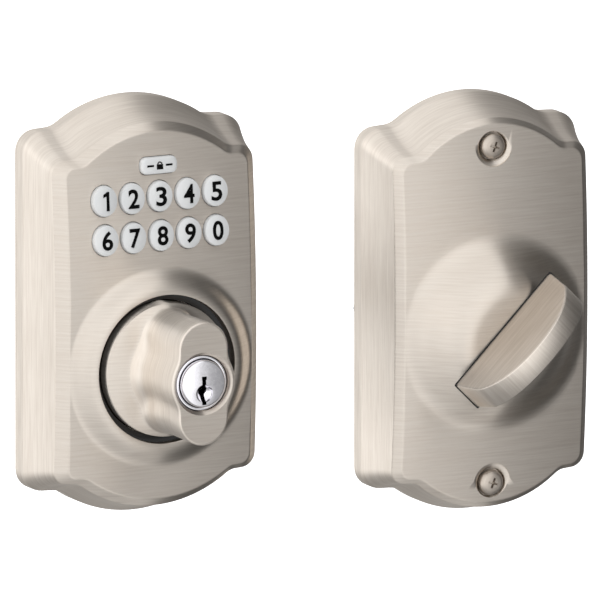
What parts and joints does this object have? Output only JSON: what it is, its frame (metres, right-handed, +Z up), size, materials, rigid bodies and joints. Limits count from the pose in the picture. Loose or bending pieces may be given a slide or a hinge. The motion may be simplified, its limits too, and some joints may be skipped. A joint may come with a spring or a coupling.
{
  "type": "keypad smart lock",
  "caption": "Keypad deadbolt lock in two halves: ogee-edged satin nickel cover with number keys and a keyed outside knob, and an inside cover with a half-round thumbturn.",
  "frame": {"origin": "where the outside half's spindle axis meets the door face", "axes": "+X to the right across both halves, +Y into the door, +Z up"},
  "size_m": [0.186, 0.0909, 0.1369],
  "materials": {
    "satin_nickel": "satin nickel plated zinc, brushed",
    "chrome": "polished chrome plated brass",
    "zinc_plated_steel": "bright zinc plated",
    "brass": "turned brass",
    "key_plastic": "translucent moulded key cap",
    "black_plastic": "black acetal",
    "grey_rubber": "moulded rubber",
    "circuit_board": "solder resist",
    "battery_wrap": "shrink wrap"
  },
  "bodies": {
    "root": {"exterior_escutcheon": "satin_nickel", "interior_cover": "satin_nickel", "turn_keeper": "zinc_plated_steel", "clutch_motor": "zinc_plated_steel", "rear_plate": "zinc_plated_steel", "rear_plate_screw_1": "zinc_plated_steel", "rear_plate_screw_2": "zinc_plated_steel", "rear_plate_screw_3": "zinc_plated_steel", "rear_plate_screw_4": "zinc_plated_steel", "support_plate": "zinc_plated_steel", "cover_screw_top": "zinc_plated_steel", "cover_screw_bottom": "zinc_plated_steel", "through_bolt_left": "zinc_plated_steel", "through_bolt_right": "zinc_plated_steel", "battery_contact_left": "zinc_plated_steel", "battery_contact_right": "zinc_plated_steel", "threaded_post_left": "brass", "threaded_post_right": "brass", "cover_post_top": "brass", "cover_post_bottom": "brass", "turn_collar": "black_plastic", "battery_tray": "black_plastic", "bolt_switch": "black_plastic", "weather_gasket": "grey_rubber", "keypad_membrane": "grey_rubber", "keypad_board": "circuit_board", "control_board": "circuit_board", "battery_1": "battery_wrap", "battery_2": "battery_wrap", "battery_3": "battery_wrap", "battery_4": "battery_wrap"},
    "outside_turn": {"outside_turn": "satin_nickel", "cylinder_shell": "chrome"},
    "cylinder_plug": {"cylinder_plug": "chrome", "cylinder_cap": "brass", "tailpiece": "zinc_plated_steel"},
    "thumbturn": {"thumbturn": "satin_nickel", "thumbturn_clip": "zinc_plated_steel", "spindle_driver": "brass"},
    "clutch_worm": {"clutch_worm": "brass"},
    "clutch_nut": {"clutch_nut": "black_plastic"},
    "key_1": {"key_1": "key_plastic"},
    "key_2": {"key_2": "key_plastic"},
    "key_3": {"key_3": "key_plastic"},
    "key_4": {"key_4": "key_plastic"},
    "key_5": {"key_5": "key_plastic"},
    "key_6": {"key_6": "key_plastic"},
    "key_7": {"key_7": "key_plastic"},
    "key_8": {"key_8": "key_plastic"},
    "key_9": {"key_9": "key_plastic"},
    "key_0": {"key_0": "key_plastic"},
    "program_key": {"program_key": "key_plastic"}
  },
  "joints": [
    {"name": "key_1_press", "type": "slide", "parent": "root", "child": "key_1", "axis": [0, 0.9967, -0.0808], "range_m": [0, 0.0012], "stiffness_N_per_m": 700},
    {"name": "key_2_press", "type": "slide", "parent": "root", "child": "key_2", "axis": [0, 0.9967, -0.0808], "range_m": [0, 0.0012], "stiffness_N_per_m": 700},
    {"name": "key_3_press", "type": "slide", "parent": "root", "child": "key_3", "axis": [0, 0.9967, -0.0808], "range_m": [0, 0.0012], "stiffness_N_per_m": 700},
    {"name": "key_4_press", "type": "slide", "parent": "root", "child": "key_4", "axis": [0, 0.9967, -0.0808], "range_m": [0, 0.0012], "stiffness_N_per_m": 700},
    {"name": "key_5_press", "type": "slide", "parent": "root", "child": "key_5", "axis": [0, 0.9967, -0.0808], "range_m": [0, 0.0012], "stiffness_N_per_m": 700},
    {"name": "key_6_press", "type": "slide", "parent": "root", "child": "key_6", "axis": [0, 0.9967, -0.0808], "range_m": [0, 0.0012], "stiffness_N_per_m": 700},
    {"name": "key_7_press", "type": "slide", "parent": "root", "child": "key_7", "axis": [0, 0.9967, -0.0808], "range_m": [0, 0.0012], "stiffness_N_per_m": 700},
    {"name": "key_8_press", "type": "slide", "parent": "root", "child": "key_8", "axis": [0, 0.9967, -0.0808], "range_m": [0, 0.0012], "stiffness_N_per_m": 700},
    {"name": "key_9_press", "type": "slide", "parent": "root", "child": "key_9", "axis": [0, 0.9967, -0.0808], "range_m": [0, 0.0012], "stiffness_N_per_m": 700},
    {"name": "key_0_press", "type": "slide", "parent": "root", "child": "key_0", "axis": [0, 0.9967, -0.0808], "range_m": [0, 0.0012], "stiffness_N_per_m": 700},
    {"name": "program_key_press", "type": "slide", "parent": "root", "child": "program_key", "axis": [0, 0.9967, -0.0808], "range_m": [0, 0.001], "stiffness_N_per_m": 700},
    {"name": "outside_turn_spin", "type": "hinge", "parent": "root", "child": "outside_turn", "pos_m": [0, 0, 0], "axis": [0, 1, 0], "continuous": true},
    {"name": "key_cylinder_turn", "type": "hinge", "parent": "outside_turn", "child": "cylinder_plug", "pos_m": [0, 0, 0], "axis": [0, 1, 0], "range_deg": [-90, 90]},
    {"name": "thumbturn_turn", "type": "hinge", "parent": "root", "child": "thumbturn", "pos_m": [0.1133, 0, 0], "axis": [0, 1, 0], "range_deg": [-45, 45]},
    {"name": "clutch_worm_spin", "type": "hinge", "parent": "root", "child": "clutch_worm", "pos_m": [0, -0.009, -0.032], "axis": [1, 0, 0], "range_deg": [0, 720]},
    {"name": "clutch_nut_slide", "type": "slide", "parent": "root", "child": "clutch_nut", "axis": [1, 0, 0], "range_m": [0, 0.004]}
  ],
  "couplings": [
    {"joint": "clutch_worm_spin", "follows": "clutch_nut_slide", "rad_per_m": 3141.5}
  ]
}
